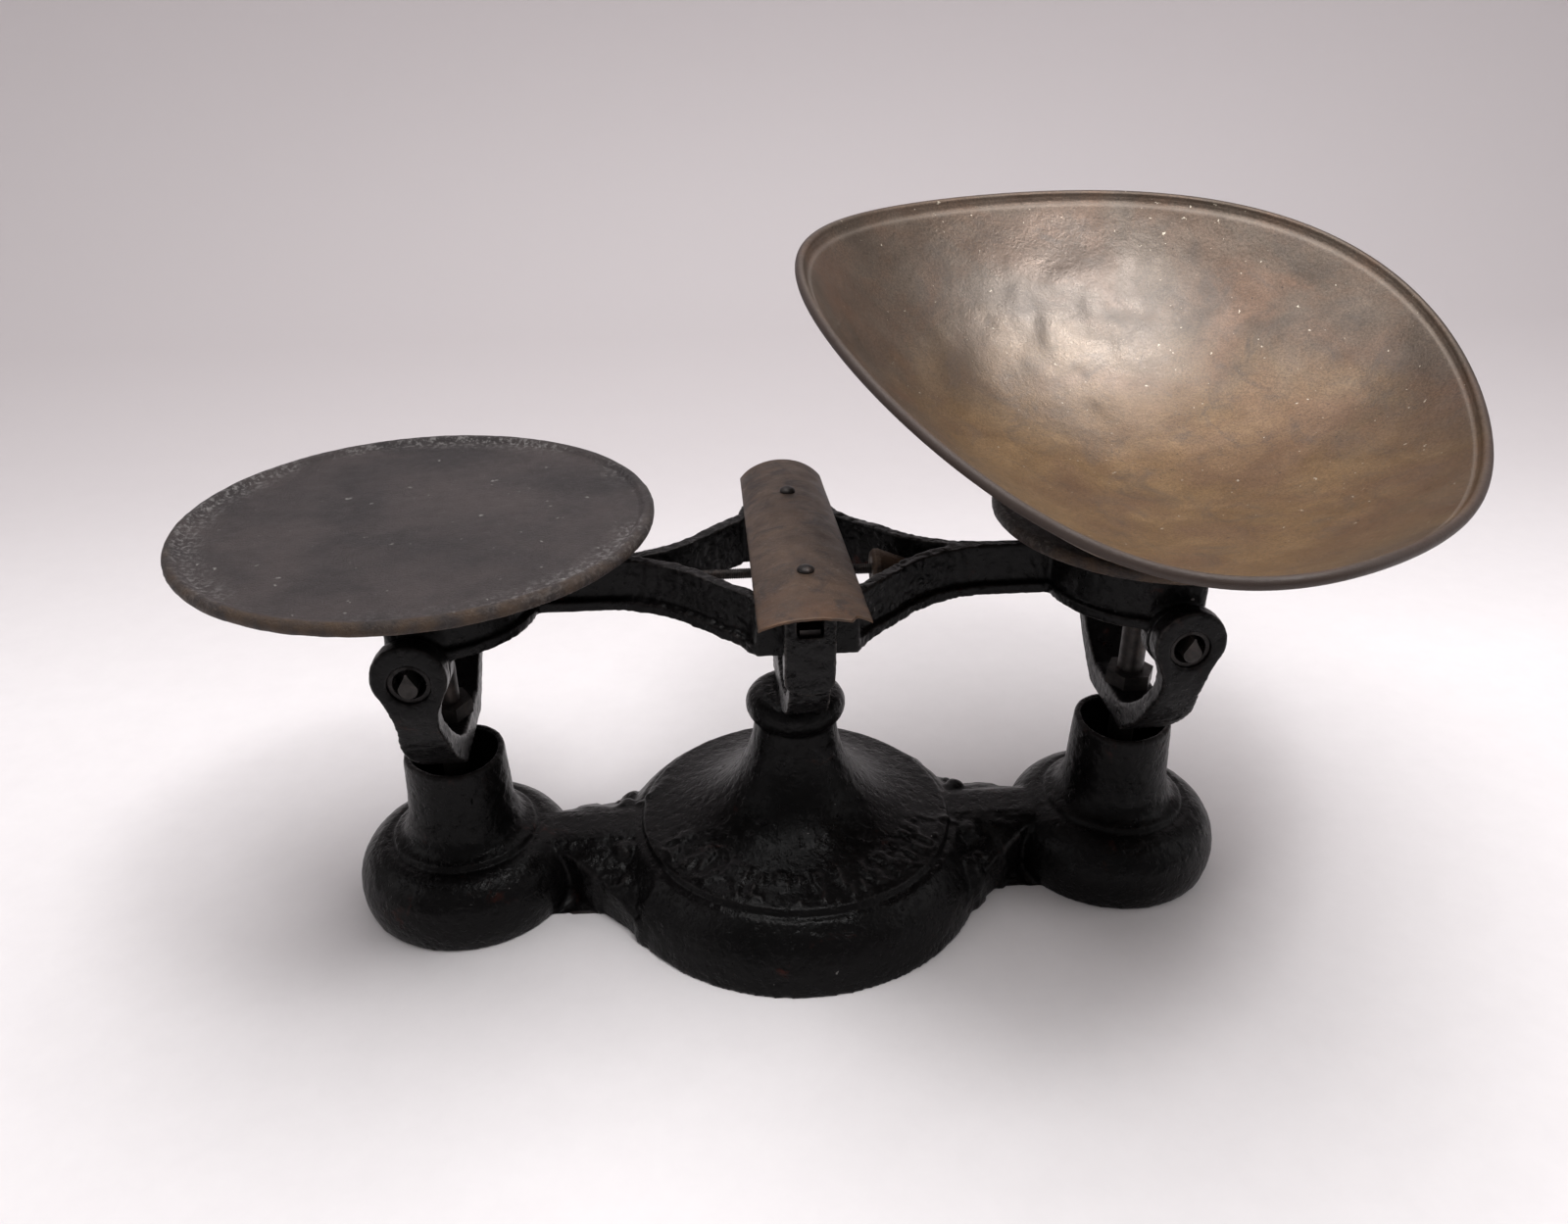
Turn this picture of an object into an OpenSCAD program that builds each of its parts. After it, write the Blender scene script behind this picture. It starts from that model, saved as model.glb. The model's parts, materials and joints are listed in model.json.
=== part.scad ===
// Equal arm counter balance scale.
// A hollow cast iron base carries a forked fulcrum stand.  The beam rocks on
// two knife edges in the stand and carries a hanger at each end on two more.
// A check link hidden in the base keeps both hangers upright.  A flat plate
// sits on the left hanger and a loose brass scoop on the right one.
// X runs along the beam, Y from front (-) to back (+), Z is up.
// The origin is on the table, under the middle of the base.

/* [Balance] */
// From the fulcrum knife line to each end knife line
arm = 133; // [130:1:136]
// Height of the three knife lines above the table
knife_z = 129; // [128.5:0.5:130]
// Height of the three check link pivots above the table
link_z = 14; // [13:0.5:15]

/* [Base] */
// Radius of the middle dome where it meets the table
dome_r = 77; // [75:1:79]
// Height of the step around the dome
dome_step_z = 27.5; // [27:0.5:29]
// Radius of the two round feet where they meet the table
foot_r = 41; // [40:1:42]
// Height of the open rim of the two hollow posts
post_h = 66.5; // [65:0.5:67]
// Bore of the two hollow posts
post_bore_r = 16.4; // [16:0.1:16.6]
// Wall of the iron casting
wall = 4; // [3.5:0.5:4.5]

/* [Beam] */
// Height of the beam's sides
beam_h = 19; // [18:0.5:20]
// Radius of the curves that part the neck into two rails
rail_r = 51; // [50:1:52]
// Thickness of the rails
rail_t = 4.8; // [4.6:0.1:5]
// Outer radius of the half round yoke at each end
yoke_r = 37; // [36:0.5:37.5]
// Half the width of the two knife blocks
block_w = 17.4; // [16:0.2:18]

/* [Trays] */
// Radius of the flat left plate
plate_r = 82.5; // [78:0.5:85]
// Height of the top of the left plate's rim
plate_z = 165; // [163:0.5:167]
// Radius of the round platform under the scoop
platform_r = 59.5; // [56:0.5:62]
// Height of the top of the platform's rim
platform_z = 158.5; // [157:0.5:160]
// Half length of the scoop, front to back
scoop_a = 139; // [132:1:144]
// Half width of the scoop
scoop_b = 115; // [108:1:120]
// Thickness of the scoop's sheet brass
scoop_t = 1; // [0.8:0.1:1.5]

/* [Hidden] */
$fn = 96;
small = 0.01;

// Base
collar_r = 7;
bar_w = 6.6;
bar_foot_w = 24;
bar_h = 26.5;
lug_r = 8;
lug_top = 30;
lug_bore_r = 11.5;

// Stand and its arms
arm_in = 45.5;
arm_out = 53;
arm_w = 8.7;
arm_low = 115;
arm_wall = 2;
wall_top = 137.5;
stem_w = 7.2;
horn_top = 149.4;
horn_gap = 4.4;
seat_z = 87;
thread_r = 6;
roof_z = 50;
washer_h = 2;
nut_r = 10.5;
nut_h = 8;

// Knives: a small round edge lies on each hinge line
edge_r = 0.5;
edge_flat = 0.3;
edge_play = 0.03;
knife_half = 30;
knife_w = 3.5;
knife_h = 10.5;
end_knife_w = 3.2;
end_knife_h = 5.6;
block_in = 31;
block_out = 44;
knife_out = 50.7;
end_knife_out = 51;
bearing_bottom = knife_z - 8;
bearing_top = knife_z + 4.6;

// Beam
beam_z = knife_z - 3;
beam_top = beam_z + beam_h;
neck_w = rail_t / 2;
rail_x = 73.5;
rail_y = neck_w + rail_r;
flange_w = 2.6;
flange_h = 4;
yoke_t = 7;
yoke_end = 9.5;
rod_z = knife_z + 7.5;
rod_r = 2;
rod_end = 62;

// Hangers
ear_in = 42;
ear_out = 49.5;
ring_r = 12.8;
ring_lift = 2;
ring_bore = 5.6;
bush_r = 7;
waist_z = 103;
ring_z = knife_z + edge_r + edge_play - ring_bore;
saddle_bottom = post_h + 5;
saddle_top = saddle_bottom + 11;
saddle_w = 8.8;
saddle_half = 18;
spindle_r = 5;
thread_play = 0.05;
clevis_r = 7.6;
clevis_slot = 3.4;
clevis_top = 27;
link_half = 3;
link_h = 8;
link_hub_r = 7;
link_eye_r = 6.2;
end_pin_r = 2.5;
end_pin_play = 0.3;
pivot_pin_r = 3;
lug_in = 12;
lug_out = 18;

// Cover
cover_len = 140;
cover_w = 17.4;
cover_rise = 5.5;
cover_t = 0.8;
cover_z = beam_top + 9;
cover_r = (cover_w * cover_w + cover_rise * cover_rise) / (2 * cover_rise);
cover_post_y = 35.2;
cover_post_r = 4;
screw_r = 1.6;
screw_depth = 5;
head_r = 3;
slot_w = 0.8;

// Trays
tray_t = 3;
rim_r = 2.5;
hub_r = 12;
hub_h = 10;
rib_t = 4;
rib_h = 5;
tare_r = 40;
tare_h = 9.5;
tare_screw_x = 26;

// Scoop: its lowest point and the middle of its rim
scoop_low = [130, -6, platform_z - 2 + 0.3 + scoop_t];
scoop_mid = [125.8, 0, 215.7];
scoop_turn = -95.3;
scoop_taper = -0.38;
scoop_tip = [tan(-10.7), tan(-5.2)];
scoop_wave2 = 5.2;
scoop_wave3 = [1.7, 5];
scoop_curve = 2.3;
bead_r = 1.9;
scoop_sides = 60;
scoop_rings = 8;
bead_steps = 7;

iron = [0.13, 0.12, 0.12];
worn_iron = [0.3, 0.28, 0.28];
steel = [0.5, 0.5, 0.52];
brass = [0.55, 0.45, 0.33];
copper = [0.4, 0.33, 0.28];

// Points along a quadratic curve from a to c, drawn towards b
function quad(a, b, c, n = 8) =
    [for (i = [0:n]) let (t = i / n)
        (1 - t) * (1 - t) * a + 2 * t * (1 - t) * b + t * t * c];

// Points along a cubic curve from a to d, drawn towards b and then c
function cubic(a, b, c, d, n = 12) =
    [for (i = [0:n]) let (t = i / n, s = 1 - t)
        s * s * s * a + 3 * s * s * t * b + 3 * s * t * t * c + t * t * t * d];

// Closes a half outline, drawn from axis to axis, with its mirror image
function mirrored(half) = concat(half,
    [for (i = [len(half) - 1:-1:0]) [-half[i][0], half[i][1]]]);

// Points along a round stretch
function arc(mid, r, from, to, n = 12) =
    [for (i = [0:n]) let (w = from + (to - from) * i / n)
        mid + r * [cos(w), sin(w)]];

// Both the child and its mirror image across the plane Y = 0
module front_and_back() {
    children();
    mirror([0, 1, 0]) children();
}

// Both the child and its mirror image across the plane X = 0
module left_and_right() {
    children();
    mirror([1, 0, 0]) children();
}

// Extrudes an outline drawn in X and Z from y0 to y1
module along_y(y0, y1) {
    translate([0, y1, 0])
        rotate([90, 0, 0])
            linear_extrude(y1 - y0) children();
}

// Extrudes an outline drawn in Y and Z from x0 to x1
module along_x(x0, x1) {
    translate([x0, 0, 0])
        rotate([90, 0, 90])
            linear_extrude(x1 - x0) children();
}

// A rod along Y
module rod_y(x, z, r, y0, y1) {
    translate([x, y1, z])
        rotate([90, 0, 0])
            cylinder(r = r, h = y1 - y0);
}

// ---------------------------------------------------------------- base

// Radius and height of the dome's outside, from the table to the seat
function dome_outside() = concat(
    [[0, 0]],
    quad([dome_r, 0], [dome_r - 1.5, 19], [dome_r - 14, dome_step_z]),
    cubic([dome_r - 15.2, dome_step_z + 1.6], [40, 32], [23, 40], [17.6, 63]),
    [[15.8, 73]],
    arc([12.4, seat_z - collar_r * sin(80)], collar_r, -60, 80),
    [[0, seat_z]]);

function dome_inside() = concat(
    [[0, -1]],
    quad([dome_r - wall, -1], [dome_r - 1.5 - wall, 17],
        [dome_r - 14 - wall, dome_step_z - wall]),
    cubic([dome_r - 22, dome_step_z - 2], [36, 28], [18, 32], [13.5, roof_z]),
    [[0, roof_z]]);

function foot_outside() = concat(
    [[0, 0]],
    cubic([foot_r, 0], [foot_r + 4.5, 12], [foot_r + 1, 26], [29, 28.5]),
    quad([28, 29.8], [21, 31], [20.5, 41]),
    [[19.2, post_h - 1], [18.4, post_h], [0, post_h]]);

function foot_inside() = concat(
    [[0, -1]],
    cubic([foot_r - wall, -1], [foot_r + 1, 11], [foot_r - 3, 23],
        [22, 26]),
    [[post_bore_r, 34], [post_bore_r, post_h - 1],
        [post_bore_r + 1, post_h + 1], [0, post_h + 1]]);

// Cross-section of a bar: a narrow flat top with flanks that flare out
function bar_side(top_w, foot_w, h) =
    quad([foot_w, 0], [top_w + 3, 3], [top_w, h]);

module bar_section(top_w, foot_w, h) {
    polygon(mirrored(bar_side(top_w, foot_w, h)));
}

// Plan of the leaf corners between the dome and a bar
module corner_plan() {
    rotate(-90)
        polygon(mirrored(concat([[50, 50]], quad([53, 56], [24, 74], [12, 98]))));
}

// Leaf corner: a low roof over the corner plan, with two scrolls on it
module corners() {
    intersection() {
        linear_extrude(dome_step_z) corner_plan();
        along_x(40, 100)
            polygon([[-60, 0], [-40, 9], [-9, 26], [9, 26], [40, 9], [60, 0]]);
    }
    front_and_back() {
        for (scroll = [[[66, 27, 12], 7], [[75, 19, 15], 5], [[69, 14, 22], 4.5]])
            translate(scroll[0]) sphere(r = scroll[1]);
    }
}

module base_casting() {
    color(iron)
    difference() {
        union() {
            rotate_extrude() polygon(dome_outside());
            left_and_right() {
                translate([arm, 0, 0])
                    rotate_extrude() polygon(foot_outside());
                along_x(20, arm - 10) bar_section(bar_w, bar_foot_w, bar_h);
                corners();
            }
        }
        rotate_extrude() polygon(dome_inside());
        cylinder(r = thread_r + thread_play, h = seat_z + 1);
        left_and_right() {
            translate([arm, 0, 0])
                rotate_extrude() polygon(foot_inside());
            translate([0, 0, -small])
                along_x(20, arm - 10)
                    bar_section(link_half + 1.2, bar_foot_w - wall - 1, bar_h - 3);
        }
    }
    color(iron)
    difference() {
        front_and_back()
            along_y(lug_in, lug_out)
                union() {
                    translate([0, link_z]) circle(r = lug_r);
                    translate([-lug_r, link_z]) square([2 * lug_r, lug_top]);
                }
        rod_y(0, link_z, pivot_pin_r, -lug_out - 1, lug_out + 1);
        cylinder(r = lug_bore_r, h = seat_z);
    }
}

// --------------------------------------------------------------- stand

// Half outline of the fork's curved stem in Y and Z: a U on a flat seat
fork_half = concat(
    cubic([12, seat_z], [30, 92], [arm_out - 3, 104], [arm_out - 1, 116]),
    [[arm_out - 1, 124], [arm_in + 0.3, 124]],
    quad([arm_in + 0.3, 122], [arm_in, 106], [24, 101]));

// Side outline of one arm's block, with its front sloped back at the horns
arm_side = concat(
    [[arm_in, arm_low - 1], [arm_out, arm_low - 1], [arm_out, wall_top]],
    arc([arm_out - 4, horn_top - 2], 2, 15, 90, 4),
    arc([arm_in + 2, horn_top - 2], 2, 90, 180, 4));

// Front view of one arm's block: a blunt point below, square above
arm_front = concat(
    quad([0, arm_low], [arm_w - 1, arm_low + 0.4], [arm_w, arm_low + 4.6]),
    arc([(arm_w + horn_gap) / 2, horn_top - 3], (arm_w - horn_gap) / 2, 0, 90, 5),
    [[0, horn_top - 3 + (arm_w - horn_gap) / 2]]);

// One arm's block with the slot that holds a bearing between its horns
module arm_block() {
    difference() {
        intersection() {
            along_x(-arm_w - 1, arm_w + 1) polygon(arm_side);
            along_y(arm_in - 1, arm_out + 1) polygon(mirrored(arm_front));
        }
        translate([-horn_gap, arm_in - 1, bearing_bottom])
            cube([2 * horn_gap, arm_out - arm_wall - arm_in + 1, horn_top]);
        translate([-horn_gap, arm_in, wall_top])
            cube([2 * horn_gap, arm_out, horn_top]);
    }
}

module fulcrum_stand() {
    color(iron) {
        difference() {
            along_x(-stem_w, stem_w) polygon(mirrored(fork_half));
            front_and_back()
                translate([-horn_gap, arm_in - 1, bearing_bottom])
                    cube([2 * horn_gap, arm_out - arm_wall - arm_in + 1, 60]);
        }
        front_and_back() arm_block();
        translate([0, 0, roof_z - washer_h - nut_h - 1])
            cylinder(r = thread_r, h = seat_z - roof_z + washer_h + nut_h + 5);
    }
}

module stand_washer() {
    color(steel)
    translate([0, 0, roof_z - washer_h])
        difference() {
            cylinder(r = nut_r + 0.5, h = washer_h);
            translate([0, 0, -1]) cylinder(r = thread_r + 0.2, h = washer_h + 2);
        }
}

module stand_nut() {
    color(steel)
    translate([0, 0, roof_z - washer_h - nut_h])
        difference() {
            cylinder(r = nut_r, h = nut_h, $fn = 6);
            translate([0, 0, -1])
                cylinder(r = thread_r + thread_play, h = nut_h + 2);
        }
}

// Hardened block with a right angled groove that holds a knife edge
module vee_bearing() {
    groove = knife_z - (edge_r + edge_play) / sin(45);
    reach = bearing_top - groove;
    color(steel)
    difference() {
        translate([-horn_gap, arm_in + 0.6, bearing_bottom])
            cube([2 * horn_gap, arm_out - arm_wall - arm_in - 0.8,
                bearing_top - bearing_bottom]);
        along_y(arm_in, arm_out)
            polygon([[0, groove], [reach, groove + reach],
                [reach, bearing_top + 1], [-reach, bearing_top + 1],
                [-reach, groove + reach]]);
    }
}

module back_bearing() { vee_bearing(); }

module front_bearing() { mirror([0, 1, 0]) vee_bearing(); }

// -------------------------------------------------------------- knives

// Wedge outline with a narrow flat at the origin and its back at +Y
function knife_points(w, back) =
    let (shoulder = (w - edge_flat) / tan(knife_half))
    concat([[edge_flat, 0], [w, shoulder]], back);

module fulcrum_outline() {
    translate([0, knife_z])
        polygon(mirrored(knife_points(knife_w, [[knife_w, knife_h]])));
}

// End knives point up and have a round back
module end_outline() {
    translate([0, knife_z])
        mirror([0, 1])
            polygon(mirrored(knife_points(end_knife_w,
                arc([0, end_knife_h], end_knife_w, 0, 88, 8))));
}

// A knife along Y: the wedge with a round edge on its hinge line
module knife(x, y0, y1) {
    translate([x, 0, 0]) along_y(y0, y1) children();
    rod_y(x, knife_z, edge_r, y0 + small, y1 - small);
}

module back_fulcrum_knife() {
    color(steel) knife(0, block_in - 2, knife_out) fulcrum_outline();
}

module front_fulcrum_knife() {
    mirror([0, 1, 0]) back_fulcrum_knife();
}

module right_back_knife() {
    color(steel) knife(arm, yoke_r - yoke_t - 1, end_knife_out) end_outline();
}

module right_front_knife() { mirror([0, 1, 0]) right_back_knife(); }

module left_back_knife() { mirror([1, 0, 0]) right_back_knife(); }

module left_front_knife() { mirror([1, 0, 0]) right_front_knife(); }

// ---------------------------------------------------------------- beam

// Plan of the beam's outside, grown by d: block, rail, neck and yoke
function beam_plan(d) =
    let (r = rail_r - d, big = yoke_r + d * 0.8, w = neck_w + d)
    let (bend = [rail_x - r * cos(45), rail_y - r * sin(45)])
    let (join_x = block_w + 2 + d)
    concat(
        [[block_w, block_out],
            [join_x, bend[1] + bend[0] - join_x]],
        arc([rail_x, rail_y], r, 225, 270, 8),
        arc([arm, 0], big, 180 - asin(w / big), 90, 10),
        arc([arm + yoke_end - 3, big - 3], 3, 90, 0, 3),
        [[arm + yoke_end, yoke_r - yoke_t], [arm, yoke_r - yoke_t]],
        arc([arm, 0], yoke_r - yoke_t, 95, 177, 10));

// Plan of the diamond shaped gap between the rails
function gap_plan() =
    let (r = rail_r + rail_t)
    let (bend = [rail_x - r * cos(45), rail_y - r * sin(45)])
    concat([[block_w, block_in], [block_w + 1.5, bend[1] + bend[0] - block_w - 1.5]],
        arc([rail_x, rail_y], r, 225, 270 - acos(rail_y / r) - 1, 8));

// Closes a quarter outline, drawn from the Y axis to the X axis
function whole(quarter) =
    let (half = concat(quarter, [for (i = [len(quarter) - 1:-1:0])
        [quarter[i][0], -quarter[i][1]]]))
    mirrored(half);

function beam_outline(d) = whole(beam_plan(d));

module beam_body() {
    for (step = [[0, flange_h, flange_w], [flange_h, beam_h, 0]])
        translate([0, 0, beam_z + step[0]])
            linear_extrude(step[1] - step[0])
                difference() {
                    polygon(beam_outline(step[2]));
                    polygon(whole(gap_plan()));
                }
    left_and_right()
        front_and_back()
            rod_y(arm, knife_z - 3.4, 8, yoke_r - yoke_t + 0.5, yoke_r - 0.5);
}

module beam() {
    color(iron)
    difference() {
        beam_body();
        front_and_back() {
            knife(0, block_in - 3, knife_out) fulcrum_outline();
            left_and_right()
                knife(arm, yoke_r - yoke_t - 2, end_knife_out) end_outline();
        }
        translate([-rod_end, 0, rod_z])
            rotate([0, 90, 0]) cylinder(r = rod_r, h = 2 * rod_end);
        front_and_back()
            translate([0, cover_post_y, beam_top - screw_depth])
                cylinder(r = screw_r, h = screw_depth + 1);
    }
}

module balance_rod() {
    color(steel)
    translate([-rod_end, 0, rod_z])
        rotate([0, 90, 0]) cylinder(r = rod_r, h = 2 * rod_end);
}

// Tapered nut that screws along the rod
module balance_nut() {
    color(copper)
    translate([28, 0, rod_z])
        rotate([0, 90, 0])
            difference() {
                rotate_extrude()
                    polygon([[0, 0], [6.6, 0], [7.4, 0.8], [7.4, 3],
                        [3.4, 13], [0, 13]]);
                translate([0, 0, -1])
                    cylinder(r = rod_r + thread_play, h = 15);
            }
}

// --------------------------------------------------------------- cover

module cover() {
    mid_z = cover_z - cover_r;
    half = asin(cover_w / cover_r);
    color(copper)
    difference() {
        along_y(-cover_len / 2, cover_len / 2)
            translate([0, mid_z])
                polygon(concat(arc([0, 0], cover_r, 90 - half, 90 + half, 24),
                    arc([0, 0], cover_r - cover_t, 90 + half, 90 - half, 24)));
        front_and_back()
            translate([0, cover_post_y, cover_z - 3])
                cylinder(r = screw_r + thread_play, h = 4);
    }
}

module cover_posts() {
    drop = cover_r - sqrt(pow(cover_r, 2) - pow(cover_post_r, 2));
    top = cover_z - cover_t - drop - 0.1;
    color(steel)
    front_and_back()
        translate([0, cover_post_y, beam_top])
            difference() {
                cylinder(r = cover_post_r, h = top - beam_top);
                translate([0, 0, -1])
                    cylinder(r = screw_r, h = 20);
            }
}

module cover_screws() {
    color(iron)
    front_and_back()
        translate([0, cover_post_y, 0]) {
            translate([0, 0, beam_top - screw_depth])
                cylinder(r = screw_r, h = cover_z - beam_top + screw_depth);
            translate([0, 0, cover_z])
                rotate_extrude()
                    polygon(concat([[0, 0], [head_r, 0]],
                        quad([head_r, 0.4], [head_r - 0.4, 1.8], [0, 1.9])));
        }
}

// ------------------------------------------------------------- hangers

// Front view of a hanger: ring, waist and lower ear
module hanger_front() {
    polygon(mirrored(concat(
        arc([0, ring_z + ring_lift], ring_r, 88, -34, 20),
        quad([9.4, ring_z - 8], [7.2, ring_z - 13], [7.4, waist_z]),
        quad([7.8, waist_z - 2], [8.4, waist_z - 6], [saddle_w, waist_z - 9]),
        [[saddle_w, saddle_bottom]])));
}

// Side view of a hanger: two arms that sweep out and up from the saddle
module hanger_side() {
    polygon(mirrored(concat(
        cubic([saddle_half, saddle_bottom], [28, 79], [44, 90], [ear_out, 112]),
        [[ear_out, 145], [ear_in, 145]],
        cubic([ear_in, 116], [40, 100], [30, 90], [saddle_half - 3, saddle_top]))));
}

module stirrup() {
    color(iron)
    difference() {
        intersection() {
            along_x(-20, 20) hanger_side();
            along_y(-60, 60) hanger_front();
        }
        rod_y(0, ring_z, bush_r, -60, 60);
        cylinder(r = spindle_r + thread_play, h = 200);
    }
}

// Two hardened rings pressed into the ears
module ring_bearings() {
    color(steel)
    front_and_back()
        difference() {
            rod_y(0, ring_z, bush_r, ear_in + 0.5, ear_out - 1.5);
            rod_y(0, ring_z, ring_bore, ear_in - 1, ear_out + 1);
        }
}

// Steel spindle from the check link up to a tray, with a forked foot
module spindle(top) {
    color(steel)
    difference() {
        union() {
            translate([0, 0, clevis_top - 1])
                cylinder(r = spindle_r, h = top - clevis_top + 1);
            translate([0, 0, link_z - 7])
                cylinder(r = clevis_r, h = clevis_top - link_z + 7);
        }
        translate([-20, -clevis_slot, 0])
            cube([40, 2 * clevis_slot, link_z + 7.5]);
        rod_y(0, link_z, end_pin_r + end_pin_play, -20, 20);
    }
}

module lock_nut() {
    color(steel)
    translate([0, 0, saddle_top])
        difference() {
            cylinder(r = 9.5, h = 6, $fn = 6);
            translate([0, 0, -1])
                cylinder(r = spindle_r + thread_play, h = 8);
        }
}

// Round iron tray with a raised rim, a hub and four ribs below
module tray(r, top) {
    floor_z = top - 2;
    under = floor_z - tray_t;
    color(worn_iron)
    difference() {
        union() {
            translate([0, 0, under]) cylinder(r = r - rim_r, h = tray_t);
            translate([0, 0, top - rim_r])
                rotate_extrude()
                    translate([r - rim_r, 0]) circle(r = rim_r, $fn = 32);
            translate([0, 0, under - hub_h]) cylinder(r = hub_r, h = hub_h + 1);
            for (turn = [45, 135])
                rotate([0, 0, turn])
                    along_y(-rib_t / 2, rib_t / 2)
                        polygon(mirrored([[hub_r, under - rib_h],
                            [r - 14, under - 1.5], [r - 14, under + 1]]));
        }
        translate([0, 0, under - hub_h - 1])
            cylinder(r = spindle_r + thread_play, h = hub_h);
        rod_y(0, under - hub_h / 2, screw_r, -hub_r - 1, 0);
    }
}

// Slotted set screw through the front of a tray's hub
module tray_screw(top) {
    z = top - 2 - tray_t - hub_h / 2;
    color(steel)
    difference() {
        union() {
            rod_y(0, z, screw_r, -hub_r - 1, -spindle_r);
            rod_y(0, z, head_r + 0.4, -hub_r - head_r, -hub_r);
        }
        translate([-head_r - 1, -hub_r - head_r - 1, z - slot_w / 2])
            cube([2 * head_r + 2, 2, slot_w]);
    }
}

module left_stirrup() { translate([-arm, 0, 0]) stirrup(); }

module right_stirrup() { translate([arm, 0, 0]) stirrup(); }

module left_ring_bearings() { translate([-arm, 0, 0]) ring_bearings(); }

module right_ring_bearings() { translate([arm, 0, 0]) ring_bearings(); }

module left_spindle() {
    translate([-arm, 0, 0]) spindle(plate_z - 2 - tray_t - 1);
}

module right_spindle() {
    translate([arm, 0, 0]) spindle(platform_z - 2 - tray_t - 1);
}

module left_lock_nut() { translate([-arm, 0, 0]) lock_nut(); }

module right_lock_nut() { translate([arm, 0, 0]) lock_nut(); }

module left_plate() { translate([-arm, 0, 0]) tray(plate_r, plate_z); }

module right_platform() {
    translate([arm, 0, 0]) tray(platform_r, platform_z);
}

module left_plate_screw() { translate([-arm, 0, 0]) tray_screw(plate_z); }

// Iron ring below the left plate that balances the empty scoop
module tare_weight() {
    top = plate_z - 2 - tray_t;
    color(iron)
    translate([-arm, 0, top - tare_h])
        difference() {
            cylinder(r = tare_r, h = tare_h);
            translate([0, 0, -1]) cylinder(r = hub_r + 2, h = tare_h + 2);
            for (turn = [45, 135])
                rotate([0, 0, turn])
                    translate([-tare_r - 1, -rib_t / 2 - 0.3, tare_h - rib_h - 0.1])
                        cube([2 * tare_r + 2, rib_t + 0.6, rib_h + 1]);
            rod_y(0, tare_h / 2, head_r + 1, -tare_r - 1, 0);
            left_and_right()
                translate([tare_screw_x, 0, -1])
                    cylinder(r = screw_r + thread_play, h = tare_h + 2);
        }
}

module tare_screws() {
    top = plate_z - 2 - tray_t;
    color(steel)
    translate([-arm, 0, top - tare_h])
        left_and_right()
            translate([tare_screw_x, 0, 0]) {
                translate([0, 0, -2]) cylinder(r = head_r, h = 2);
                cylinder(r = screw_r, h = tare_h);
            }
}

module right_platform_screw() {
    translate([arm, 0, 0]) tray_screw(platform_z);
}

// --------------------------------------------------------------- scoop

// A point of the scoop's rim at angle w: an egg shape, tipped and waved
function rim_point(w) =
    let (u = scoop_a * cos(w))
    let (v = scoop_b * sin(w) * (1 + scoop_taper * cos(w)))
    let (wave = scoop_wave2 * cos(2 * w) + scoop_wave3[0] * cos(3 * w)
        + scoop_wave3[1] * sin(3 * w))
    scoop_mid + [u * cos(scoop_turn) - v * sin(scoop_turn),
        u * sin(scoop_turn) + v * cos(scoop_turn),
        scoop_tip[0] * u + scoop_tip[1] * v + wave];

// A point of the bowl's inside: f runs from its lowest point to its rim
function bowl_point(w, f) =
    let (rim = rim_point(w) - scoop_low, rise = pow(f, scoop_curve))
    scoop_low + [rim[0] * f, rim[1] * f, rim[2] * rise];

function unit(v) = v / norm(v);

// Direction that points out of the bowl's outside
function bowl_normal(w, f) =
    let (along = bowl_point(w + 1, f) - bowl_point(w - 1, f))
    let (up = bowl_point(w, f + 0.01) - bowl_point(w, f - 0.01))
    -unit(cross(up, along));

// One slice of the wall: up the inside, over the rolled edge, down again
function scoop_slice(w) =
    let (edge = bowl_point(w, 1))
    let (out = unit([edge[0] - scoop_low[0], edge[1] - scoop_low[1], 0]))
    let (mid = edge + bead_r * out)
    concat(
        [for (i = [1:scoop_rings]) bowl_point(w, i / scoop_rings)],
        [for (i = [1:bead_steps - 1]) let (a = 180 - 250 * i / bead_steps)
            mid + bead_r * (cos(a) * out + [0, 0, sin(a)])],
        [for (i = [scoop_rings:-1:1]) let (f = (i - 0.15) / scoop_rings)
            bowl_point(w, f) + scoop_t * bowl_normal(w, f)]);

module scoop() {
    slices = [for (i = [0:scoop_sides - 1])
        scoop_slice(360 * i / scoop_sides)];
    n = len(slices[0]);
    points = concat([scoop_low, scoop_low - [0, 0, scoop_t]],
        [for (slice = slices) for (p = slice) p]);
    faces = concat(
        [for (i = [0:scoop_sides - 1])
            let (a = 2 + i * n, b = 2 + ((i + 1) % scoop_sides) * n)
            each concat(
                [[0, a, b], [1, b + n - 1, a + n - 1]],
                [for (k = [0:n - 2])
                    each [[a + k, a + k + 1, b + k + 1],
                        [a + k, b + k + 1, b + k]]])]);
    color(brass) polyhedron(points, faces);
}

// ---------------------------------------------------------- check link

module check_link() {
    color(iron)
    difference() {
        union() {
            along_y(-link_half, link_half) {
                translate([-arm, link_z - link_h / 2]) square([2 * arm, link_h]);
                for (x = [-arm, arm])
                    translate([x, link_z]) circle(r = link_eye_r);
            }
            rod_y(0, link_z, link_hub_r, -lug_in + 0.4, lug_in - 0.4);
        }
        rod_y(0, link_z, pivot_pin_r + thread_play, -lug_in, lug_in);
        for (x = [-arm, arm])
            rod_y(x, link_z, end_pin_r, -link_half - 1, link_half + 1);
    }
}

module link_pivot_pin() {
    color(steel) {
        rod_y(0, link_z, pivot_pin_r, -lug_out, lug_out + 2);
        rod_y(0, link_z, pivot_pin_r + 2, -lug_out - 2, -lug_out);
    }
}

module link_end_pins() {
    color(steel)
    for (x = [-arm, arm]) {
        rod_y(x, link_z, end_pin_r, -clevis_r - 1, clevis_r + 1.5);
        rod_y(x, link_z, end_pin_r + 1.3, -clevis_r - 2.5, -clevis_r - 1);
    }
}

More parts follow.
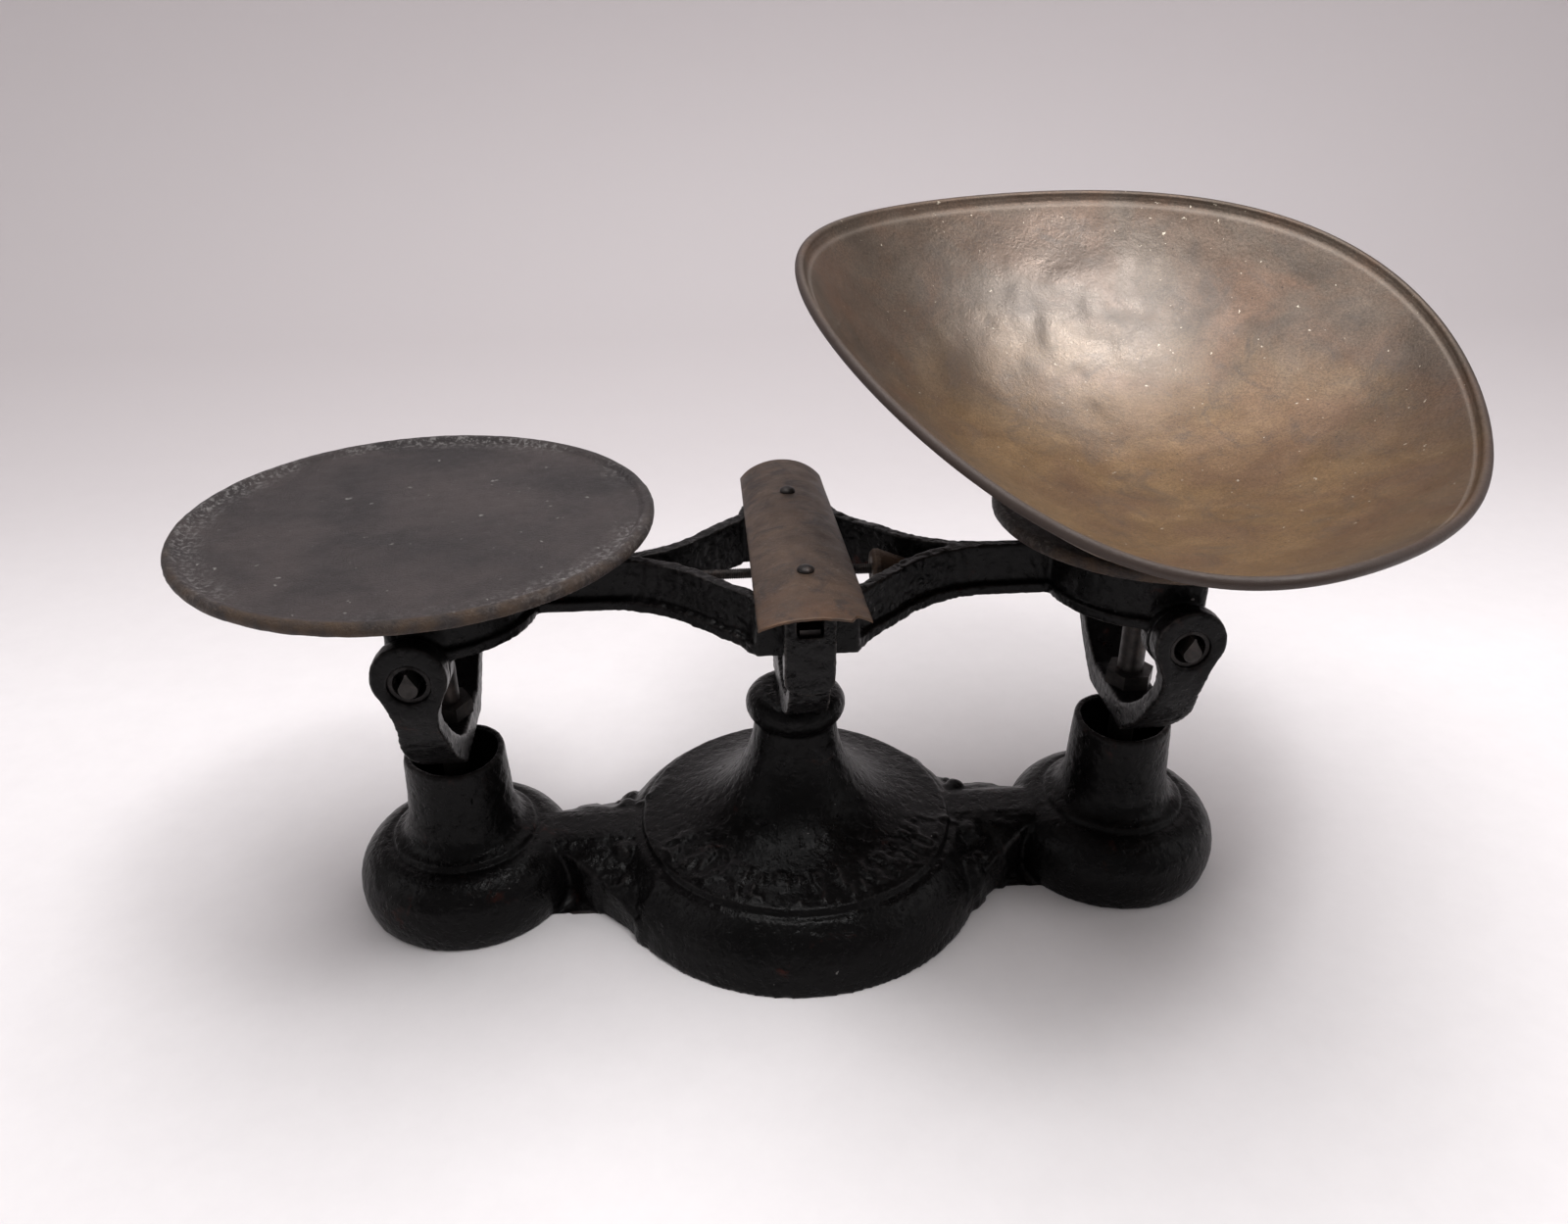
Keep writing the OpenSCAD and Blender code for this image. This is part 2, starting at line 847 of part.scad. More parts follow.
base_casting();
fulcrum_stand();
stand_washer();
stand_nut();
front_bearing();
back_bearing();
beam();
front_fulcrum_knife();
back_fulcrum_knife();
left_front_knife();
left_back_knife();
right_front_knife();
right_back_knife();
balance_rod();
balance_nut();
cover();
cover_posts();
cover_screws();
left_stirrup();
right_stirrup();
left_ring_bearings();
right_ring_bearings();
left_spindle();
right_spindle();
left_lock_nut();
right_lock_nut();
left_plate();
left_plate_screw();
tare_weight();
tare_screws();
right_platform();
right_platform_screw();
scoop();
check_link();
link_pivot_pin();
link_end_pins();
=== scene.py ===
"""Looks of an equal arm counter balance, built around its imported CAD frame."""
import json
import math

import bmesh
import bpy
import numpy as np
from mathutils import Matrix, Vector


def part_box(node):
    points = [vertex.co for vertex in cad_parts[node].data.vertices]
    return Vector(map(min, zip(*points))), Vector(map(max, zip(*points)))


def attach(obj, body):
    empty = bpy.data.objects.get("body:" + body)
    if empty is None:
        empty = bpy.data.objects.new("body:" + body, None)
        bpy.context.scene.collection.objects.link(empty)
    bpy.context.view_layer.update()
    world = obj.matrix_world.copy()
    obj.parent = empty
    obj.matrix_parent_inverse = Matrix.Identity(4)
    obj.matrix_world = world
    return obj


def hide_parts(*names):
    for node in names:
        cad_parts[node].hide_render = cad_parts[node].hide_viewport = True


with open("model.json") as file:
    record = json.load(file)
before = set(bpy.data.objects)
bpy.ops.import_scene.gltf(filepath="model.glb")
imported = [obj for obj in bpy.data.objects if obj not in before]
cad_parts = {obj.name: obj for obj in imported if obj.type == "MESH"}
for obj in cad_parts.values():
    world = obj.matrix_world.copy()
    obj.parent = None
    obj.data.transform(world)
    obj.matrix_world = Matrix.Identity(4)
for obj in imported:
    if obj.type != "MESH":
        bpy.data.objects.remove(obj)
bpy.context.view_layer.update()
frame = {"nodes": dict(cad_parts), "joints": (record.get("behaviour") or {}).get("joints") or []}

MM = 0.001
# A skin with more triangles than this is thinned
MOST_TRIANGLES = 190000


# ---------------------------------------------------------------- measures

JOINTS = {joint["name"]: joint for joint in frame["joints"]}
KNIFE_LINE = Vector(JOINTS["beam_swing"]["pos_m"])
ARM = JOINTS["right_hanger_swing"]["pos_m"][0]


def size(node):
    """The lengths of a CAD node's box."""
    low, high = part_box(node)
    return high - low


def middle(node):
    """The middle of a CAD node's box."""
    low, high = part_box(node)
    return (low + high) / 2


# ------------------------------------------------------------------- noise


def lattice(cell, seed):
    """A repeatable number from 0 to 1 at each whole-numbered point."""
    n = cell[..., 0] * 73856093 ^ cell[..., 1] * 19349663
    n = n ^ cell[..., 2] * 83492791 ^ seed * 26544357
    n = (n ^ (n >> 13)) * 1274126177
    return ((n ^ (n >> 16)) & 0xFFFF) / 65535.0


def noise(points, lump, seed):
    """Smooth noise from -1 to 1 with lumps of the given size in metres."""
    place = points / lump
    cell = np.floor(place).astype(np.int64)
    t = place - cell
    t = t * t * (3 - 2 * t)
    total = np.zeros(len(points))
    for corner in range(8):
        step = np.array([corner & 1, corner >> 1 & 1, corner >> 2 & 1])
        weight = np.prod(np.where(step == 1, t, 1 - t), axis=1)
        total += weight * lattice(cell + step, seed)
    return 2 * total - 1


def rough(points, layers, seed):
    """Noise summed over layers of (lump size, height)."""
    total = np.zeros(len(points))
    for i, (lump, height) in enumerate(layers):
        total += height * noise(points, lump, seed + i)
    return total


def smooth_step(x, low, high):
    """0 below low, 1 above high, smooth between."""
    t = np.clip((x - low) / (high - low), 0, 1)
    return t * t * (3 - 2 * t)


def smooth_fall(x, low, high):
    """1 below low, 0 above high, smooth between."""
    return smooth_step(-x, -high, -low)


# ------------------------------------------------------------------ meshes


def new_piece(name, points, faces):
    """A smooth shaded mesh object made of points and faces."""
    mesh = bpy.data.meshes.new(name)
    mesh.from_pydata([tuple(p) for p in points], [], faces)
    shell = bmesh.new()
    shell.from_mesh(mesh)
    bmesh.ops.recalc_face_normals(shell, faces=shell.faces)
    shell.to_mesh(mesh)
    shell.free()
    piece = bpy.data.objects.new(name, mesh)
    bpy.context.scene.collection.objects.link(piece)
    mesh.shade_smooth()
    return piece


def points_of(mesh):
    """A mesh's points as an array."""
    flat = np.empty(len(mesh.vertices) * 3)
    mesh.vertices.foreach_get("co", flat)
    return flat.reshape(-1, 3)


def normals_of(mesh):
    """A mesh's vertex normals as an array."""
    flat = np.empty(len(mesh.vertices) * 3)
    mesh.vertices.foreach_get("normal", flat)
    return flat.reshape(-1, 3)


def set_points(mesh, points):
    """Moves a mesh's points."""
    mesh.vertices.foreach_set("co", points.astype(np.float32).ravel())
    mesh.update()


def relax(mesh, rounds):
    """Rounds a mesh off by moving each point half way to its neighbours' middle."""
    count = len(mesh.vertices)
    edges = np.empty(len(mesh.edges) * 2, np.int64)
    mesh.edges.foreach_get("vertices", edges)
    a, b = edges.reshape(-1, 2).T
    degree = np.bincount(a, minlength=count) + np.bincount(b, minlength=count)
    points = points_of(mesh)
    for _ in range(rounds):
        total = np.zeros_like(points)
        for axis in range(3):
            onto_a = np.bincount(a, points[b, axis], count)
            onto_b = np.bincount(b, points[a, axis], count)
            total[:, axis] = onto_a + onto_b
        points += 0.5 * (total / degree[:, None] - points)
    set_points(mesh, points)


def applied(piece):
    """Turns a piece's modifiers into plain mesh."""
    graph = bpy.context.evaluated_depsgraph_get()
    mesh = bpy.data.meshes.new_from_object(piece.evaluated_get(graph))
    piece.modifiers.clear()
    piece.data = mesh
    return mesh


def recast(name, node, voxel, rounds, layers, seed, extras=(), share=None, relief=None):
    """One skin over a CAD node and extra pieces, with cast roundness and grain.

    share, if given, takes points and returns each one's share of the grain.
    relief, if given, takes points and normals and returns the moved points.
    """
    joined = bmesh.new()
    joined.from_mesh(frame["nodes"][node].data)
    for extra in extras:
        joined.from_mesh(extra.data)
        bpy.data.objects.remove(extra)
    mesh = bpy.data.meshes.new(name)
    joined.to_mesh(mesh)
    joined.free()
    piece = bpy.data.objects.new(name, mesh)
    bpy.context.scene.collection.objects.link(piece)
    remesh = piece.modifiers.new("skin", "REMESH")
    remesh.mode = "VOXEL"
    remesh.voxel_size = voxel
    mesh = applied(piece)
    relax(mesh, rounds)
    points = points_of(mesh)
    height = rough(points, layers, seed)
    if share is not None:
        height *= share(points)
    set_points(mesh, points + normals_of(mesh) * height[:, None])
    if relief is not None:
        set_points(mesh, relief(points_of(mesh), normals_of(mesh)))
    count = 2 * len(mesh.polygons)
    if count > MOST_TRIANGLES:
        thinner = piece.modifiers.new("thinner", "DECIMATE")
        thinner.ratio = MOST_TRIANGLES / count
        mesh = applied(piece)
    mesh.shade_smooth()
    return piece


def soften(node, width):
    """Rounds the edges of a CAD node with a bevel."""
    piece = frame["nodes"][node]
    bevel = piece.modifiers.new("edges", "BEVEL")
    bevel.width = width
    bevel.segments = 2
    bevel.limit_method = "ANGLE"
    bevel.angle_limit = math.radians(35)


def finish_piece(piece, material, body, *nodes):
    """Gives a piece its material, its body and the CAD nodes it stands for."""
    piece.data.materials.clear()
    piece.data.materials.append(material)
    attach(piece, body)
    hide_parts(*nodes)


# --------------------------------------------------------------- materials


class Nodes:
    """Short names for building one material's nodes."""

    def __init__(self, name):
        self.material = bpy.data.materials.new(name)
        self.material.use_nodes = True
        self.tree = self.material.node_tree
        self.shader = self.tree.nodes["Principled BSDF"]
        self.place = self.add("ShaderNodeTexCoord").outputs["Object"]

    def add(self, kind):
        """A new node of the given kind."""
        return self.tree.nodes.new(kind)

    def link(self, out, into):
        """Joins an output to an input."""
        self.tree.links.new(out, into)

    def put(self, value, socket):
        """Links an output to a socket, or sets the socket to a number or colour."""
        if isinstance(value, bpy.types.NodeSocket):
            self.link(value, socket)
        elif socket.type == "RGBA":
            socket.default_value = (*value, 1)
        else:
            socket.default_value = value

    def axes(self):
        """The X, Y and Z of the place on the object."""
        node = self.add("ShaderNodeSeparateXYZ")
        self.link(self.place, node.inputs[0])
        return node.outputs

    def field(self, name):
        """A value that the mesh holds at each of its points."""
        node = self.add("ShaderNodeAttribute")
        node.attribute_name = name
        return node.outputs["Fac"]

    def noise(self, per_metre, detail, roughness, bend=0.0):
        """Noise from 0 to 1 with so many lumps to a metre."""
        node = self.add("ShaderNodeTexNoise")
        node.inputs["Scale"].default_value = per_metre
        node.inputs["Detail"].default_value = detail
        node.inputs["Roughness"].default_value = roughness
        node.inputs["Distortion"].default_value = bend
        self.link(self.place, node.inputs["Vector"])
        return node.outputs["Fac"]

    def ramp(self, value, low, high, dark, light):
        """A blend from dark to light as value goes from low to high."""
        node = self.add("ShaderNodeValToRGB")
        first, last = node.color_ramp.elements
        first.position, last.position = low, high
        first.color, last.color = (*dark, 1), (*light, 1)
        self.link(value, node.inputs["Fac"])
        return node.outputs["Color"]

    def mix(self, factor, a, b, kind="MIX"):
        """Colour a turned into b by factor; each may be a colour or a link."""
        node = self.add("ShaderNodeMix")
        node.data_type = "RGBA"
        node.blend_type = kind
        # A colour mix has its factor at input 0 and its colours at 6 and 7
        for value, index in ((factor, 0), (a, 6), (b, 7)):
            self.put(value, node.inputs[index])
        return node.outputs[2]

    def maths(self, kind, a, b=0.0):
        """One sum; a and b may be numbers or links."""
        node = self.add("ShaderNodeMath")
        node.operation = kind
        self.put(a, node.inputs[0])
        self.put(b, node.inputs[1])
        return node.outputs[0]

    def times(self, a, b):
        """The product of a and b."""
        return self.maths("MULTIPLY", a, b)

    def plus(self, a, b):
        """The sum of a and b."""
        return self.maths("ADD", a, b)

    def minus(self, a, b):
        """a less b."""
        return self.maths("SUBTRACT", a, b)

    def range(self, value, low, high, to_low, to_high):
        """Maps low to high onto to_low to to_high, held at the ends."""
        node = self.add("ShaderNodeMapRange")
        self.link(value, node.inputs[0])
        for socket, number in zip(list(node.inputs)[1:5], (low, high, to_low, to_high)):
            socket.default_value = number
        return node.outputs[0]

    def bump(self, height, distance):
        """A bump of the given depth in metres."""
        node = self.add("ShaderNodeBump")
        node.inputs["Strength"].default_value = 1.0
        node.inputs["Distance"].default_value = distance
        self.link(height, node.inputs["Height"])
        return node.outputs["Normal"]

    def edges(self, low, high):
        """1 on sharp outer edges, 0 elsewhere."""
        out = self.add("ShaderNodeNewGeometry").outputs["Pointiness"]
        return self.range(out, low, high, 0.0, 1.0)

    def finish(self, colour, roughness, metallic=0.0, normal=None):
        """Sets the shader's main inputs and returns the material."""
        self.put(colour, self.shader.inputs["Base Color"])
        self.put(roughness, self.shader.inputs["Roughness"])
        self.put(metallic, self.shader.inputs["Metallic"])
        if normal is not None:
            self.link(normal, self.shader.inputs["Normal"])
        return self.material


def black_iron(name, shade=1.0, grain=1.0, gloss=0.12, worn_edge=(0.055, 0.048, 0.046)):
    """Japanned cast iron: near black, paler on worn edges, with rust and pale flecks."""
    n = Nodes(name)
    broad = n.noise(28, 5, 0.6)
    fine = n.noise(300, 3, 0.5)
    darkest = [0.0016 * shade] * 3
    base = n.ramp(broad, 0.3, 0.75, darkest, [v * shade for v in (0.0042, 0.0035, 0.0037)])
    dust = n.range(n.noise(900, 3, 0.7), 0.6, 0.78, 0.0, 0.16)
    worn = n.mix(dust, base, (0.03, 0.026, 0.025))
    edge = n.times(n.edges(0.52, 0.58), n.range(broad, 0.4, 0.62, 0.08, 0.75))
    worn = n.mix(edge, worn, worn_edge)
    bloom = n.range(n.noise(55, 4, 0.6, 0.4), 0.63, 0.73, 0.0, 1.0)
    rust = n.times(bloom, n.range(fine, 0.45, 0.6, 0.0, 0.45))
    worn = n.mix(rust, worn, (0.06, 0.014, 0.008))
    flecks = n.range(n.noise(260, 2, 0.5), 0.79, 0.8, 0.0, 0.6)
    colour = n.mix(flecks, worn, (0.22, 0.21, 0.2))
    roughness = n.range(n.noise(160, 5, 0.7), 0.3, 0.72, 0.23, 0.4)
    pits = n.range(n.noise(330, 3, 0.55), 0.3, 0.46, 0.0, 1.0)
    height = n.plus(n.times(fine, 0.8), n.times(pits, 0.35))
    height = n.plus(height, n.times(n.noise(1000, 2, 0.6), 0.16))
    n.shader.inputs["Specular IOR Level"].default_value = gloss
    return n.finish(colour, roughness, 0.0, n.bump(height, 0.00055 * grain))


def worn_tray(name, centre, radius):
    """Dark worn iron tray with pale flecks in its rim's angle and a bronze front rim."""
    n = Nodes(name)
    x, y, _ = n.axes()
    dx = n.minus(x, centre[0])
    dy = n.minus(y, centre[1])
    away = n.maths("SQRT", n.plus(n.times(dx, dx), n.times(dy, dy)))
    broad = n.noise(24, 5, 0.6, 0.5)
    fine = n.noise(520, 6, 0.7)
    base = n.ramp(broad, 0.36, 0.66, (0.022, 0.018, 0.0185), (0.045, 0.0355, 0.0345))
    specks = n.range(n.noise(700, 4, 0.75), 0.6, 0.74, 0.0, 0.5)
    base = n.mix(specks, base, (0.075, 0.068, 0.066))
    patch = n.range(n.noise(17, 3, 0.5, 0.3), 0.42, 0.6, 0.08, 1.0)
    inner = n.range(away, radius * 0.83, radius * 0.94, 0.0, 1.0)
    flecks = n.times(inner, n.range(fine, 0.5, 0.6, 0.0, 0.75))
    base = n.mix(n.times(flecks, patch), base, (0.2, 0.19, 0.185))
    dots = n.range(n.noise(310, 2, 0.5), 0.73, 0.75, 0.0, 0.7)
    base = n.mix(dots, base, (0.24, 0.235, 0.22))
    rim = n.range(away, radius * 0.955, radius * 0.975, 0.0, 1.0)
    base = n.mix(n.times(rim, 0.55), base, (0.018, 0.0145, 0.014))
    front = n.range(dy, -radius, radius * 0.1, 1.0, 0.0)
    bronze = n.times(n.times(rim, front), n.range(n.noise(130, 4, 0.6), 0.38, 0.6, 0.1, 0.8))
    colour = n.mix(bronze, base, (0.075, 0.045, 0.025))
    roughness = n.range(n.noise(180, 5, 0.7), 0.3, 0.72, 0.42, 0.62)
    height = n.plus(n.times(fine, 0.5), n.noise(1300, 3, 0.7))
    n.shader.inputs["Specular IOR Level"].default_value = 0.3
    return n.finish(colour, roughness, 0.0, n.bump(height, 0.0007))


def old_brass(name, low, spot):
    """Tarnished sheet brass: golden in the bowl, grey-brown up the walls.

    low is the height of the bowl's bottom. Round spot the sheet is rubbed smoother, and its colour is
    paled as a painted highlight.
    """
    n = Nodes(name)
    cloud = n.noise(14, 6, 0.62, 0.8)
    height = n.plus(n.axes()[2], n.times(n.minus(cloud, 0.5), 0.06))
    wall = n.range(height, low + 0.008, low + 0.045, 0.0, 1.0)
    gold = n.ramp(n.noise(40, 5, 0.65, 1.0), 0.3, 0.7, (0.148, 0.085, 0.036), (0.222, 0.138, 0.066))
    grey = n.ramp(n.noise(30, 5, 0.6, 0.6), 0.3, 0.7, (0.07, 0.049, 0.034), (0.122, 0.092, 0.069))
    colour = n.mix(wall, gold, grey)
    ruddy = n.range(n.noise(19, 5, 0.6, 0.9), 0.46, 0.64, 0.0, 0.6)
    colour = n.mix(ruddy, colour, (0.125, 0.068, 0.04))
    stains = n.range(n.noise(48, 7, 0.72, 1.2), 0.5, 0.66, 0.0, 0.55)
    colour = n.mix(stains, colour, (0.06, 0.041, 0.028))
    grains = n.ramp(n.noise(1100, 3, 0.7), 0.35, 0.65, [0.74] * 3, [1.22] * 3)
    colour = n.mix(1.0, colour, grains, "MULTIPLY")
    specks = n.range(n.noise(430, 3, 0.6), 0.68, 0.73, 0.0, 0.8)
    colour = n.mix(specks, colour, (0.03, 0.02, 0.014))
    pale = n.range(n.noise(390, 3, 0.55), 0.71, 0.74, 0.0, 0.9)
    colour = n.mix(pale, colour, (0.5, 0.44, 0.35))
    away = n.add("ShaderNodeVectorMath")
    away.operation = "DISTANCE"
    away.inputs[1].default_value = spot
    n.link(n.place, away.inputs[0])
    # Painted highlight: the colour is paled round spot, where the lamp's highlight falls; the same
    # mask also makes the sheet smoother and more metallic there
    rubbed_and_sheen = n.range(away.outputs["Value"], 0.075, 0.02, 0.0, 1.0)
    colour = n.mix(n.times(rubbed_and_sheen, 0.6), colour, (0.24, 0.222, 0.205))
    lip = n.field("lip")
    colour = n.mix(n.times(lip, 0.92), colour, (0.036, 0.022, 0.017))
    # Painted highlight: a pale line along the step below the rim
    colour = n.mix(n.times(n.field("line"), 0.25), colour, (0.26, 0.22, 0.185))
    roughness = n.range(n.noise(60, 6, 0.7, 0.5), 0.3, 0.7, 0.36, 0.52)
    roughness = n.minus(roughness, n.times(rubbed_and_sheen, 0.24))
    roughness = n.plus(roughness, n.times(lip, 0.12))
    metal = n.plus(n.range(stains, 0.0, 0.6, 0.5, 0.3), n.times(rubbed_and_sheen, 0.2))
    metal = n.times(metal, n.range(lip, 0.0, 1.0, 1.0, 0.25))
    grain = n.plus(n.times(n.noise(900, 4, 0.7), 0.6), n.noise(240, 4, 0.65))
    return n.finish(colour, roughness, metal, n.bump(grain, 0.0002))


def old_copper(name):
    """Brown oxidised sheet with an orange bloom near its front edge."""
    n = Nodes(name)
    base = n.ramp(n.noise(45, 6, 0.65, 0.8), 0.34, 0.66, (0.048, 0.031, 0.022), (0.11, 0.071, 0.048))
    near_edge = n.range(n.axes()[1], -0.07, -0.035, 1.0, 0.0)
    front = n.times(near_edge, n.range(n.noise(90, 5, 0.6, 0.5), 0.4, 0.62, 0.0, 0.7))
    colour = n.mix(front, base, (0.135, 0.066, 0.032))
    blots = n.range(n.noise(95, 6, 0.7, 0.5), 0.52, 0.64, 0.0, 0.7)
    colour = n.mix(blots, colour, (0.024, 0.019, 0.018))
    scratch = n.range(n.noise(330, 3, 0.6, 2.0), 0.64, 0.68, 0.0, 0.45)
    colour = n.mix(scratch, colour, (0.2, 0.16, 0.13))
    roughness = n.range(n.noise(120, 5, 0.7), 0.3, 0.7, 0.4, 0.58)
    return n.finish(colour, roughness, 0.5, n.bump(n.noise(700, 5, 0.7), 0.0003))


def dull_steel(name, dark, light, rusty=0.3):
    """Bare steel, oxidised, with brown rust bloom."""
    n = Nodes(name)
    base = n.ramp(n.noise(180, 5, 0.65), 0.3, 0.7, dark, light)
    rust = n.range(n.noise(110, 6, 0.7, 0.6), 0.52, 0.68, 0.0, rusty)
    colour = n.mix(rust, base, (0.05, 0.024, 0.014))
    metal = n.range(rust, 0.0, 0.5, 0.8, 0.3)
    roughness = n.range(n.noise(300, 5, 0.7), 0.3, 0.7, 0.36, 0.56)
    return n.finish(colour, roughness, metal, n.bump(n.noise(1200, 4, 0.7), 0.00008))


IRON = black_iron("black_iron")
STAND_IRON = black_iron("rough_iron", 1.6, 2.2, 0.16, (0.2, 0.18, 0.17))
HANGER_IRON = black_iron("hanger_iron", 1.3, 0.8, 0.12, (0.15, 0.13, 0.12))
STEEL = dull_steel("steel", (0.016, 0.0145, 0.014), (0.045, 0.041, 0.039))
DARK_STEEL = dull_steel("dark_steel", (0.018, 0.016, 0.016), (0.05, 0.045, 0.042), 0.5)
COPPER = old_copper("old_copper")

# Cast grain as layers of (lump size, height) in metres
CAST_LAYERS = [(0.009, 0.0001), (0.0034, 0.0001), (0.0016, 0.00009)]
COARSE_LAYERS = [(0.006, 0.00022), (0.0026, 0.00024), (0.0014, 0.00016)]


# ----------------------------------------------------------------- the base

DOME_TOP = (0.021, 0.026)
GROOVE_RADIUS = 0.0635
GROOVE_WIDTH = 0.0011
GROOVE_DEPTH = 0.0008
BAND_RADIUS = 0.052
BAND_INSIDE = (0.0445, 0.047)
BAND_OUTSIDE = (0.058, 0.0605)
BAND_FRONT = (0.008, 0.022)
STROKE_SIZE = (0.0021, 0.0062)
STROKE_HEIGHT = 0.001
LEAF_PLACE = (0.073, 0.026)
LEAF_REACH = (0.017, 0.024)
LEAF_HEIGHT = 0.0011
BAR_SIDE = (0.009, 0.013)
FOOT_RING_RADIUS = 0.0292
FOOT_RING_WIDTH = 0.0012
FOOT_RING_DEPTH = 0.0009
FOOT_TOP = (0.02, 0.026)
POST_REACH = 0.022
RIM_TOP = (0.058, 0.0655)
RIM_DIP = 0.0007


def ridge(x, middle_at, width):
    """1 at middle_at, falling to 0 within about two widths."""
    return np.exp(-(((x - middle_at) / width) ** 2))


def dome_relief(x, y, z):
    """A groove round the dome and worn strokes of a raised band round its front."""
    away = np.hypot(x, y)
    turn = np.arctan2(y, x)
    up = smooth_step(z, *DOME_TOP)
    groove = GROOVE_DEPTH * ridge(away, GROOVE_RADIUS, GROOVE_WIDTH) * up
    wide, tall = STROKE_SIZE
    plan = np.stack([turn * BAND_RADIUS / wide, (away - BAND_RADIUS) / tall, z * 0], axis=-1)
    band = smooth_step(away, *BAND_INSIDE) * smooth_fall(away, *BAND_OUTSIDE)
    stroke = smooth_step(noise(plan + 40.5, 1.0, 61), -0.02, 0.22)
    return STROKE_HEIGHT * stroke * band * smooth_step(-y, *BAND_FRONT) * up - groove


def leaf_relief(points):
    """Leaves that curl in the four corners beside the bars."""
    x, y, _ = points.T
    height = np.zeros(len(points))
    for sx in (-1, 1):
        for sy in (-1, 1):
            du, dv = sx * x - LEAF_PLACE[0], sy * y - LEAF_PLACE[1]
            near = np.hypot(du, dv)
            bend = sx * sy * np.arctan2(dv, du) - 5.5 * np.sqrt(near / 0.01)
            curl = smooth_step(np.cos(bend) + 0.5 * noise(points, 0.004, 67), -0.3, 0.7)
            beside_bar = smooth_step(np.abs(y), *BAR_SIDE)
            fade = smooth_fall(near, *LEAF_REACH)
            height += LEAF_HEIGHT * curl * beside_bar * fade
    return height


def foot_relief(x, y, z):
    """A groove round each foot."""
    away = np.hypot(np.abs(x) - ARM, y)
    ring = ridge(away, FOOT_RING_RADIUS, FOOT_RING_WIDTH)
    return -FOOT_RING_DEPTH * ring * smooth_step(z, *FOOT_TOP)


def base_surface(points, normals):
    """Ornament on the base, and post rims that dip as if cut by hand."""
    height = dome_relief(*points.T) + leaf_relief(points) + foot_relief(*points.T)
    points = points + normals * height[:, None]
    for sign in (-1, 1):
        dx = points[:, 0] - sign * ARM
        turn = np.arctan2(points[:, 1], dx)
        near = np.hypot(dx, points[:, 1]) < POST_REACH
        rim = smooth_step(points[:, 2], *RIM_TOP) * near
        points[:, 2] += rim * RIM_DIP * (np.cos(2 * turn + sign) - 1)
    # Nothing reaches below the table
    points[:, 2] = np.maximum(points[:, 2], 0)
    return points


# ------------------------------------------------- the beam, stand and trays

LOBE_RADIUS = 0.0122
LOBE_ROUNDING = 0.0012
LOBE_DROP = 0.0052
LOBE_BACK = 0.0325
LOBE_FRONT = 0.0407
NECK_HALF = 0.0024
RAIL_RADIUS = 0.051
RAIL_X = 0.0735
RAIL_FACE_RADIUS = 0.0482
RAIL_START = (0.0178, 0.019)
RAIL_END = (0.06, 0.066)
RAIL_SAND = 2.2
SLOT_HALF = 0.0052
SLOT_FLOOR = 0.12
SLOT_FRONT = 0.0522


def ring_faces(rows, columns, wrap=False):
    """Faces of a grid whose rows are closed rings; wrap joins last to first."""
    faces = []
    for i in range(rows if wrap else rows - 1):
        for j in range(columns):
            a, b = i * columns, (i + 1) % rows * columns
            k = (j + 1) % columns
            faces.append((a + j, a + k, b + k, b + j))
    return faces


def end_fans(rows, sides):
    """Fans that close the first and last rings onto the two points after them."""
    count = rows * sides
    last = count - sides
    faces = []
    for j in range(sides):
        k = (j + 1) % sides
        faces.append((k, j, count))
        faces.append((last + j, last + k, count + 1))
    return faces


def turns_of(sides):
    """Equal angles round a circle."""
    return np.arange(sides) * 2 * math.pi / sides


def lobe(sx, sy):
    """A round lobe on a yoke, behind the ring of the hanger at side sx, sy."""
    sides, hub = 64, 0.0004
    w = turns_of(sides)
    outline = [
        (LOBE_BACK, hub),
        (LOBE_BACK, LOBE_RADIUS),
        (LOBE_FRONT - LOBE_ROUNDING, LOBE_RADIUS),
        (LOBE_FRONT, LOBE_RADIUS - LOBE_ROUNDING),
        (LOBE_FRONT, hub),
    ]
    height = KNIFE_LINE.z - LOBE_DROP
    rows = [
        np.stack([sx * ARM + r * np.cos(w), np.full(sides, sy * y), height + r * np.sin(w)], axis=-1)
        for y, r in outline
    ]
    count = len(rows) * sides
    faces = ring_faces(len(rows), sides)
    faces += [tuple(range(sides)), tuple(range(count - sides, count))]
    return new_piece("lobe", np.array(rows).reshape(-1, 3), faces)


def rail_grain(points):
    """Coarser sand marks between the rails than on the outside."""
    x, y = np.abs(points[:, 0]), np.abs(points[:, 1])
    inside = smooth_fall(x, *RAIL_END) * smooth_step(x, *RAIL_START)
    along = RAIL_X - np.minimum(x, RAIL_X)
    outer = NECK_HALF + RAIL_RADIUS - np.sqrt(np.maximum(RAIL_FACE_RADIUS**2 - along**2, 0))
    inside *= smooth_step(outer - y, 0.0, 0.0015)
    return 1 + RAIL_SAND * inside


def slot_grain(points):
    """1 on the stand's outside, almost 0 in the slots the knives move in."""
    beside = smooth_step(np.abs(points[:, 0]), SLOT_HALF, SLOT_HALF + 0.0008)
    below = smooth_fall(points[:, 2], SLOT_FLOOR - 0.002, SLOT_FLOOR)
    front = smooth_step(np.abs(points[:, 1]), SLOT_FRONT, SLOT_FRONT + 0.0006)
    return 0.1 + 0.9 * np.maximum(np.maximum(beside, below), front)


